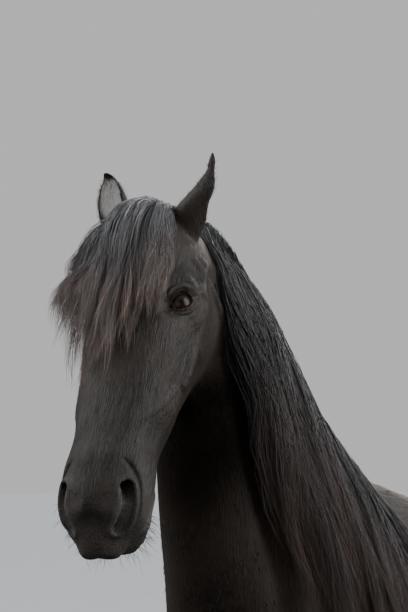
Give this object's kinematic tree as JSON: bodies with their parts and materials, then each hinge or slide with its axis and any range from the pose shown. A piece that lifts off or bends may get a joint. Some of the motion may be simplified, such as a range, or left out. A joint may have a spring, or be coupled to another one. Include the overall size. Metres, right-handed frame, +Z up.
{
  "type": "friesian horse",
  "caption": "Life-size standing black horse with a long wavy mane, forelock and tail, feathered legs and its head turned a little to its left.",
  "frame": {"origin": "on the floor, under the middle of the horse from nose to tail", "axes": "+X to the horse's front, +Y to its left side, +Z up"},
  "size_m": [2.2928, 0.5906, 2.1767],
  "materials": {
    "coat": "short black-brown hair with a soft sheen",
    "hair": "long wavy black hair, browner at the tips",
    "eye": "wet, dark brown",
    "hoof": "dark horn with fine growth rings"
  },
  "bodies": {
    "root": {"barrel": "coat", "chest": "coat", "croup": "coat", "ear_left": "coat", "ear_right": "coat", "eye_left": "eye", "eye_right": "eye", "fore_hoof_left": "hoof", "fore_hoof_right": "hoof", "fore_shank_left": "coat", "fore_shank_right": "coat", "forearm_left": "coat", "forearm_right": "coat", "head": "coat", "hind_hoof_left": "hoof", "hind_hoof_right": "hoof", "hind_shank_left": "coat", "hind_shank_right": "coat", "neck": "coat", "tail": "hair", "thigh_left": "coat", "thigh_right": "coat"}
  },
  "joints": []
}
